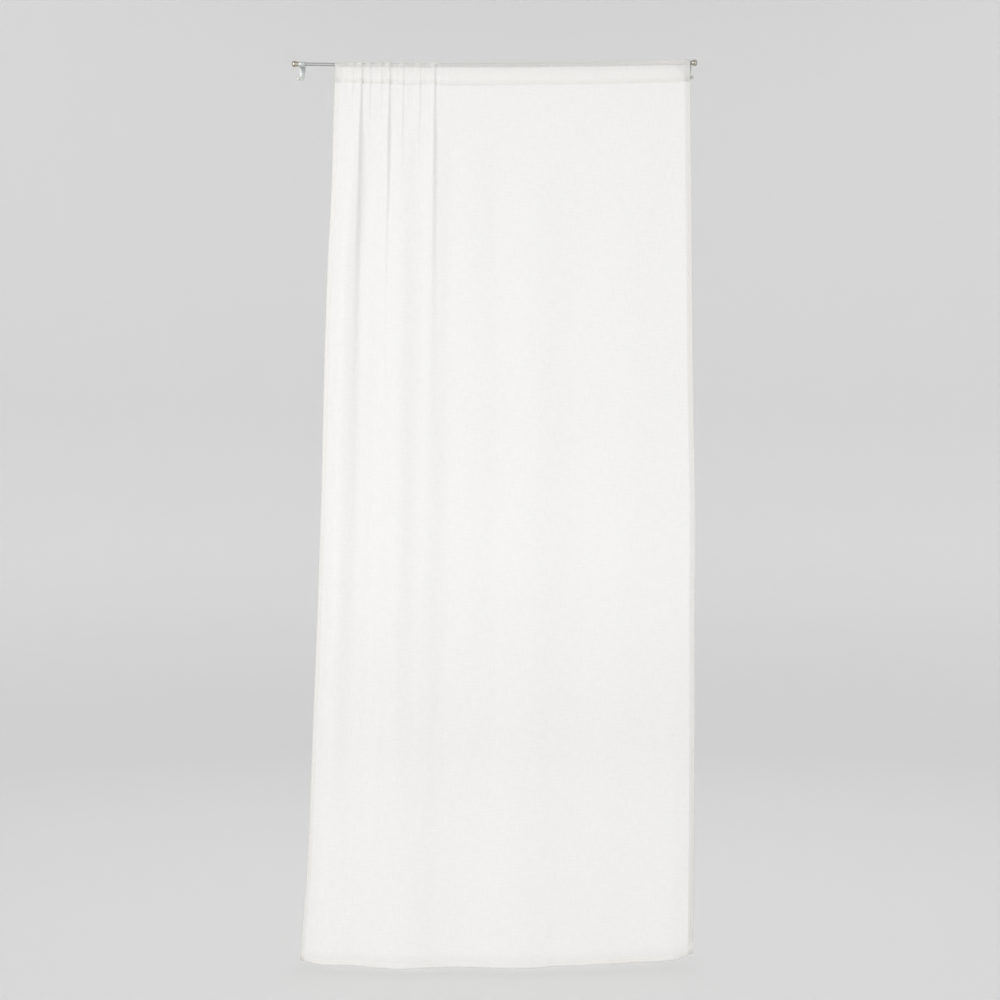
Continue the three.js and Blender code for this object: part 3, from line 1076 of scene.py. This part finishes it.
    def crown(self, places: Array, angles: Array, scale: float) -> Array:
        """The cloth round the bar.

        Each point lies at the bar's radius and the cloth's lift and gathers from the axis, at an
        angle from the front: 90 is the top and 180 the back. Towards the back the right end is
        pushed along the bar by the bracket's arm.

        Args:
            places: where the columns stand.
            angles: one angle in degrees for each row.
            scale: how much the gathers are scaled at the heading.

        Returns:
            Points as (row, column, xyz).
        """
        place, angle = places[None, :], angles[:, None]
        to_top, to_back = smoothstep(angle, 0, 90), smoothstep(angle, 90, 180)
        ridge = 0
        for g in self.gathers:
            rise = lerp(g.depth * scale * self.front_share, g.frill, to_top)
            height = lerp(rise, g.depth * self.back_share, to_back)
            ridge = ridge + height * g.shape(place, self.gentle, self.steep)
        front_ends, falls, gone = self.lift_angles
        front, top = read_table(self.pocket, 3, place), read_table(self.pocket, 2, place)
        upper = lerp(front, top, smoothstep(angle, front_ends, 90))
        radius = self.crown_radius + upper * (1 - smoothstep(angle, falls, gone)) + ridge
        along = smoothstep(angle, *self.push_angles) * smoothstep(place, self.push_from, self.right)
        turn = np.radians(angle)
        return np.stack(
            [
                place - self.push * along,
                -self.bar.stand_off - radius * np.cos(turn),
                self.bar.height(place) + radius * np.sin(turn),
            ],
            axis=-1,
        )

    def surface(self, places: Array) -> tuple[Array, int]:
        """The whole sheet as one grid, from the hem up the front, over the bar and down behind.

        Args:
            places: where the columns stand along the heading.

        Returns:
            Points as (row, column, xyz), and the number of the row at the pocket's foot.
        """
        t = np.linspace(0, 1, self.panel_rows)
        hem_share = 1 - self.bottom_hem / -self.hem_level
        body = (self.even_share * t + (1 - self.even_share) * t * t) * hem_share
        shares = np.concatenate([body, np.linspace(hem_share, 1, self.hem_rows)[1:]])[::-1]
        points, folds = self.panel(places, shares)
        scale = self.folded(points, folds)
        panel = points.copy()
        panel[..., 1] -= scale * folds
        heading = float(scale[-1, 0])

        angles = np.linspace(self.crown_start, 180 - self.crown_start, self.crown_rows)
        crown = self.crown(places, angles, heading)
        foot = np.stack(
            [
                places,
                self.seam_y - heading * self.gather_depth(places, np.zeros(1)),
                self.seam_height(places),
            ],
            axis=-1,
        )
        in_band = np.linspace(0, self.band_top, self.band_rows)
        over_band = np.linspace(self.upper_start, 1, self.upper_rows + 1)[:-1]
        up = np.concatenate([in_band, over_band])[:, None, None]
        front = lerp(foot[None], crown[:1], up)
        behind = foot + [0, 2 * self.turned_gap, 0]
        back = lerp(crown[-1:], behind[None], 1 - up[::-1])
        inside = foot + [0, self.turned_gap, 0]
        rise = np.linspace(0, self.band, self.band_rows)[:, None, None]
        turned = inside[None] + np.array([0, 0, 1]) * rise
        return np.concatenate([panel, front, crown, back, turned]), len(shares)

    def hung(self) -> tuple[Array, Array, int]:
        """Hangs the sheet, with its slight waves.

        Returns:
            The columns' places, the grid and the number of the row at the pocket's foot.
        """
        places = self.places()
        base, foot_row = self.surface(places)
        base[:foot_row, :, 1] += self.waves.depth(places[None, :], base[:foot_row], self.right)
        return places, base, foot_row

    def wrong_side(self, base: Array) -> Array:
        """Finds the directions to the cloth's wrong side, which is behind it and in the pocket.

        Each is the cross product of the grid's two directions. Their common sign is read in the
        middle of the panel, where the wrong side faces +Y.

        Args:
            base: the sheet's grid as (row, column, xyz).

        Returns:
            A unit vector for each point.
        """
        normals = unit(np.cross(np.gradient(base, axis=1), np.gradient(base, axis=0)))
        return normals * np.sign(normals[len(base) // 3, base.shape[1] // 2, 1])

    def sewing_lines(self) -> list[tuple[Array, Array, float]]:
        """Where the machine sewed: the pocket's foot, both side hems and the bottom hem.

        Returns:
            For each line its points, the normals to the wrong side and the layers' depth behind.
        """
        places, base, foot_row = self.hung()
        normals = self.wrong_side(base)
        lines = []
        inset = self.side_hem - self.stitch_inset
        for place in (self.left + inset, self.right - inset):
            after = int(np.searchsorted(places, place))
            share = (place - places[after - 1]) / (places[after] - places[after - 1])
            rows = slice(0, foot_row + self.front_rows)
            line = lerp(base[rows, after - 1], base[rows, after], share)
            lines.append((line, normals[rows, after], self.turned_gap))
        hem = self.hem_rows - 2
        hem_line = lerp(base[hem], base[hem + 1], self.hem_stitch)
        lines.append((hem_line, normals[hem], self.turned_gap))
        foot_line = lerp(base[foot_row], base[foot_row + 1], self.foot_stitch)
        lines.append((foot_line, normals[foot_row + 1], 2 * self.turned_gap))
        return lines

    def build(self) -> bpy.types.Object:
        """Makes the sheet with its turned hems as further rows and columns of the same grid.

        Returns:
            The sheet, which replaces the curtain's solid.
        """
        places, base, foot_row = self.hung()
        wrong_side = self.wrong_side(base)
        across = np.gradient(base, axis=1)
        slope = np.abs(across[..., 1]) / np.maximum(np.abs(across[..., 0]), LEAST_STEP)
        steep = np.clip(np.sqrt(1 + slope**2), 1, self.most_layers)

        left_hem = np.flatnonzero(places <= self.left + self.side_hem)[::-1]
        right_hem = np.flatnonzero(places >= self.right - self.side_hem)[::-1]
        columns = np.concatenate([left_hem, np.arange(len(places)), right_hem])
        column_back = np.zeros(len(columns))
        column_back[: len(left_hem)] = 1
        column_back[len(columns) - len(right_hem) :] = 1
        rows = np.concatenate([np.arange(self.hem_rows)[::-1], np.arange(len(base))])
        row_back = np.zeros(len(rows))
        row_back[: self.hem_rows] = 1

        turned = row_back[:, None] + column_back[None, :]
        pick = np.ix_(rows, columns)
        points = base[pick] + wrong_side[pick] * (turned * self.turned_gap)[..., None]
        layers = (1 + (turned > 0)) * np.where(turned > 0, 1, steep[pick])
        crown_row = foot_row + self.front_rows
        crowned = (rows >= crown_row) & (rows < crown_row + self.crown_rows)
        layers = layers * np.where(crowned, self.crown_layers, 1)[:, None]

        # Painted shade: darker colour on the hems, the pocket and its band, and on the steep flanks of
        # folds.
        in_hem = (rows < self.hem_rows)[:, None]
        in_pocket = (rows >= foot_row)[:, None]
        in_band = in_pocket & (rows < foot_row + self.band_rows)[:, None]
        painted_shade = self.pocket_shade * in_pocket + self.band_shade * in_band
        painted_shade = np.where(np.isin(columns, left_hem)[None, :], self.left_shade, painted_shade)
        painted_shade = np.where(np.isin(columns, right_hem)[None, :], self.right_shade, painted_shade)
        painted_shade = np.where(in_hem, self.bottom_shade, painted_shade)
        shade = np.maximum(painted_shade, np.clip((steep[pick] - 1) * self.fold_shade, 0, 1))

        widths = np.linalg.norm(np.diff(base[foot_row], axis=0), axis=-1)
        u = np.concatenate([[0], np.cumsum(widths)])
        lengths = np.linalg.norm(np.diff(base[:, len(places) * 2 // 3], axis=0), axis=-1)
        v = np.concatenate([[0], np.cumsum(lengths)])
        u_shift, v_shift = self.turned_shift * self.side_hem, self.turned_shift * self.bottom_hem
        u_grid = np.where(column_back[None, :] > 0, u[columns] + u_shift, u[columns])
        v_grid = np.where(row_back > 0, v[rows] + v_shift, v[rows])[:, None]
        uv = np.stack(np.broadcast_arrays(u_grid, v_grid), axis=-1) * MM

        cloth = mesh_object("curtain_cloth", points.reshape(-1, 3), grid_faces(len(rows), len(columns)))
        set_uv(cloth, CLOTH_UV, uv.reshape(-1, 2))
        set_attribute(cloth, LAYERS, layers)
        set_attribute(cloth, SHADE, shade)
        dress(cloth, SheerLinen().material(), "curtain")
        return cloth


@dataclass(frozen=True)
class Stitching:
    """Lockstitch in spun thread along the pocket's foot and the hems, on both faces of the cloth.

    A stitch is a short square rod of four rings: where each ring stands along it, how high it lies
    and how thick it is are shares of the stitch's length, of its height and of its radius.
    """

    curtain: Curtain
    stitch: float = 2.7
    space: float = 0.8
    radius: float = 0.24
    proud: float = 0.2
    rings: tuple[float, ...] = (0, 0.2, 0.8, 1)
    heights: tuple[float, ...] = (-1, 0.6, 0.6, -1)
    thickness: tuple[float, ...] = (0.5, 1, 1, 0.5)
    corners: tuple[float, ...] = (45, 135, 225, 315)

    def along(self, line: Array, out: Array, lift: float) -> Array:
        """Lays stitches end to end along a line: short rods whose ends dip into the cloth.

        Args:
            line: points of the line.
            out: unit vectors that point out of the cloth at each point.
            lift: how far out of the line the cloth's outer face lies.

        Returns:
            Vertices as (stitch, ring, corner, xyz).
        """
        far = np.concatenate([[0], np.cumsum(np.linalg.norm(np.diff(line, axis=0), axis=-1))])
        count = int(far[-1] / (self.stitch + self.space))
        start = np.arange(count) * far[-1] / count + self.space / 2
        place = start[:, None] + self.stitch * np.array(self.rings)
        middle = np.stack([np.interp(place, far, line[:, k]) for k in range(3)], axis=-1)
        normal = unit(np.stack([np.interp(place, far, out[:, k]) for k in range(3)], axis=-1))
        tangent = unit(np.gradient(middle, axis=1))
        side = unit(np.cross(tangent, normal))
        middle = middle + normal * (lift + self.proud * np.array(self.heights))[:, None]
        thick = self.radius * np.array(self.thickness)[:, None, None]
        turn = np.radians(self.corners)[:, None]
        around = np.cos(turn) * side[..., None, :] + np.sin(turn) * normal[..., None, :]
        return middle[..., None, :] + thick * around

    def build(self) -> bpy.types.Object:
        """Joins all the stitches into one mesh.

        Returns:
            The thread.
        """
        threads = []
        for line, normals, depth in self.curtain.sewing_lines():
            threads.append(self.along(line, -normals, 0))
            threads.append(self.along(line, normals, depth))
        points = np.concatenate(threads)
        count, rings, corners, _ = points.shape
        tube = grid_faces(rings, corners, around=True)
        ends = np.array([[3, 2, 1, 0], np.arange(4) + (rings - 1) * corners])
        one = np.concatenate([tube, ends])
        faces = one[None] + (np.arange(count) * rings * corners)[:, None, None]
        thread = mesh_object("seam_thread", points.reshape(-1, 3), faces.reshape(-1, 4))
        tidy_mesh(thread)
        dress(thread, PolyesterThread().material())
        return thread


@dataclass(frozen=True)
class Knob:
    """A turned knob that is pushed over the bar's end: a rounded barrel on a short neck."""

    bar: Bar
    radius: float = 7.2
    length: float = 12.6
    roundness: float = 2.6
    neck_radius: float = 5.4
    neck_length: float = 2.4
    neck_start: float = 436.2
    socket_radius: float = 4.35
    end_gap: float = 0.3
    edge: float = 0.25
    barrel_steps: int = 40
    sides: int = 48

    def profile(self) -> Array:
        """Lays out the turned profile: the socket, the neck, then a superellipse barrel.

        Returns:
            Distance along the axis and radius, one row for each point.
        """
        power = 2 / self.roundness
        depth = self.bar.reach + self.end_gap - self.neck_start
        first = math.asin((self.neck_radius / self.radius) ** (1 / power))
        angle = np.linspace(first, np.pi, self.barrel_steps)
        along = np.sign(np.cos(angle)) * np.abs(np.cos(angle)) ** power
        barrel_radius = self.radius * np.maximum(np.sin(angle), 0) ** power
        middle = self.neck_length + self.length / 2
        barrel = np.stack([middle - along * self.length / 2, barrel_radius], axis=-1)
        edge, bore = self.edge, self.socket_radius
        socket = [[depth, 0], [depth, bore], [edge, bore], [0, bore + edge]]
        neck = [[0, self.neck_radius - edge], [edge, self.neck_radius]]
        return np.concatenate([socket, neck, barrel])

    def build(self, side: Side) -> bpy.types.Object:
        """Turns the profile round the bar's axis at one end.

        Args:
            side: which end of the bar.

        Returns:
            The knob, which replaces the finial's node.
        """
        name = side.name.lower()
        along, radius = self.profile().T
        start = side.value * self.neck_start
        height = self.bar.height(np.array(start)) + self.bar.slope(start) * side.value * along
        points = self.bar.rings(side.value * (self.neck_start + along), radius, height, self.sides)
        knob = mesh_object(f"knob_{name}", points, grid_faces(len(along), self.sides, around=True))
        tidy_mesh(knob)
        dress(knob, SATIN_NICKEL.material(), f"finial_{name}")
        return knob


@dataclass(frozen=True)
class Fitting:
    """A pressed bracket or a screw: the solid's own form with its edges softly broken."""

    node: str
    slot: str
    finish: Metal
    edge: float
    segments: int = 2
    merge: float = 0.002
    flat_angle: float = 1
    smooth_angle: float = 32

    def build(self, frame: dict[str, Any]) -> bpy.types.Object:
        """Copies the node's mesh, merges its loose triangles and bevels its sharp edges.


        Returns:
            The piece, which replaces the node.
        """
        mesh = frame["nodes"][self.node].data.copy()
        mesh.name = f"{self.node}_edged"
        piece = bpy.data.objects.new(f"{self.node}_edged", mesh)
        bpy.context.scene.collection.objects.link(piece)
        work = bmesh.new()
        work.from_mesh(mesh)
        bmesh.ops.remove_doubles(work, verts=work.verts, dist=self.merge * MM)
        flat, smooth = math.radians(self.flat_angle), math.radians(self.smooth_angle)
        bmesh.ops.dissolve_limit(work, angle_limit=flat, verts=work.verts, edges=work.edges)
        sharp = [e for e in work.edges if e.is_manifold and e.calc_face_angle() > smooth]
        bmesh.ops.bevel(
            work,
            geom=sharp,
            offset=self.edge * MM,
            segments=self.segments,
            profile=0.5,
            affect="EDGES",
            clamp_overlap=True,
        )
        work.to_mesh(mesh)
        work.free()
        mesh.materials.clear()
        mesh.shade_smooth()
        mesh.set_sharp_from_angle(angle=smooth)
        dress(piece, self.finish.material(), self.node)
        return piece


# Each end of the bar has a bracket and a screw: the node, its slot, its finish and its broken edge.
FITTINGS = (
    ("bracket", "bracket_metal", BLUE_GREY_LACQUER, 0.35),
    ("screw", "screw_metal", ZINC_PLATE, 0.15),
)


@dataclass(frozen=True)
class Lamp:
    """A large soft area light that the camera doesn't see: its place, target, size and watts."""

    name: str
    place: Point
    target: Point
    size: tuple[float, float]
    power: float

    def add(self) -> bpy.types.Object:
        """Adds the light to the scene, turned to its target.

        Returns:
            The light.
        """
        data = bpy.data.lights.new(self.name, "AREA")
        data.shape = "RECTANGLE"
        data.size, data.size_y = self.size[0] * MM, self.size[1] * MM
        data.energy = self.power
        lamp = bpy.data.objects.new(self.name, data)
        lamp.location = np.array(self.place) * MM
        direction = Vector(self.target) - Vector(self.place)
        lamp.rotation_euler = direction.to_track_quat("-Z", "Y").to_euler()
        lamp.visible_camera = False
        bpy.context.scene.collection.objects.link(lamp)
        return lamp


# Soft light from in front, and from behind through the cloth, which falls on the pieces alone.
PIECE_LAMPS = (
    Lamp("front_left", (-2300, -2900, 0), (0, -60, -1000), (1600, 1600), 86),
    Lamp("front_right", (2500, -2700, -300), (0, -60, -1000), (1600, 1600), 43),
    Lamp("through_cloth", (0, 1500, -1350), (0, -60, -1350), (1500, 2300), 13.5),
)
# Even light from above, which falls on the stage alone.
STAGE_LAMPS = (Lamp("above_stage", (0, 0, 2500), (0, 0, FLOOR), (7000, 7000), 78),)


@dataclass(frozen=True)
class Studio:
    """A round pale stage with soft light in front and soft light that comes through the cloth."""

    stage_radius: float = 5200
    cove: float = 1500
    wall_top: float = 2600
    floor_steps: int = 11
    cove_steps: int = 24
    sides: int = 96
    surround: str = "f4f4f4"
    surround_strength: float = 0.75
    eye: Point = (257, -4080, -974.7)
    lens: float = 65.45
    sensor: float = 36
    shift: tuple[float, float] = (-0.11, 0.002)

    def stage(self) -> bpy.types.Object:
        """Turns a floor, a round cove and a wall about the vertical axis.

        Returns:
            The stage.
        """
        bend = np.linspace(0, np.pi / 2, self.cove_steps)
        inner = self.stage_radius - self.cove
        floor_rings = np.linspace(0, inner, self.floor_steps + 1)[:-1]
        radius = np.concatenate([floor_rings, inner + self.cove * np.sin(bend), [self.stage_radius]])
        cove_height = FLOOR + self.cove * (1 - np.cos(bend))
        height = np.concatenate([np.full(self.floor_steps, FLOOR), cove_height, [self.wall_top]])
        turn = np.linspace(0, 2 * np.pi, self.sides, endpoint=False)
        x, y = radius[:, None] * np.cos(turn), radius[:, None] * np.sin(turn)
        points = np.stack(np.broadcast_arrays(x, y, height[:, None]), axis=-1)
        stage = mesh_object("stage", points.reshape(-1, 3), grid_faces(len(radius), self.sides, around=True))
        stage.data.materials.append(StagePaint().material())
        return stage

    def lights(self, pieces: list[bpy.types.Object], stage: bpy.types.Object) -> None:
        """Adds soft light on the pieces, soft even light on the stage, and a pale surround.

        Args:
            pieces: what the light from the front and through the cloth falls on.
            stage: what the light from above falls on.
        """
        groups = (("lit_pieces", PIECE_LAMPS, pieces), ("lit_stage", STAGE_LAMPS, [stage]))
        for name, lamps, lit in groups:
            receivers = bpy.data.collections.new(name)
            for thing in lit:
                receivers.objects.link(thing)
            for lamp in lamps:
                lamp.add().light_linking.receiver_collection = receivers
        world = bpy.data.worlds.new("pale_surround")
        world.use_nodes = True
        background = world.node_tree.nodes["Background"]
        background.inputs["Color"].default_value = linear(self.surround)
        background.inputs["Strength"].default_value = self.surround_strength
        bpy.context.scene.world = world

    def camera(self) -> None:
        """The level camera at the photograph's viewing point, with its framing as a shift."""
        data = bpy.data.cameras.new("camera")
        data.lens, data.sensor_width = self.lens, self.sensor
        data.shift_x, data.shift_y = self.shift
        camera = bpy.data.objects.new("camera", data)
        camera.location = np.array(self.eye) * MM
        camera.rotation_euler = (math.pi / 2, 0, 0)
        bpy.context.scene.collection.objects.link(camera)
        bpy.context.scene.camera = camera
        bpy.context.scene.view_settings.view_transform = "Standard"


def main() -> None:
    """Builds the studio, the bar, the cloth and the fittings, and reports each piece."""
    logging.basicConfig(level=logging.INFO, format="%(name)s: %(message)s")
    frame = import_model()
    studio = Studio()
    studio.camera()
    stage = studio.stage()
    bar = Bar()
    pieces = [bar.build()]
    curtain = Curtain(bar)
    cloth = curtain.build()
    thread = Stitching(curtain).build()
    pieces += [cloth, thread]
    pieces += [Knob(bar).build(side) for side in Side]
    for side in Side:
        for kind, slot, finish, edge in FITTINGS:
            pieces.append(Fitting(f"{kind}_{side.name.lower()}", slot, finish, edge).build(frame))
    studio.lights(pieces, stage)
    for piece in pieces:
        mesh = piece.data
        LOG.info("%s has %d vertices and %d faces", piece.name, len(mesh.vertices), len(mesh.polygons))


if __name__ == "__main__":
    main()
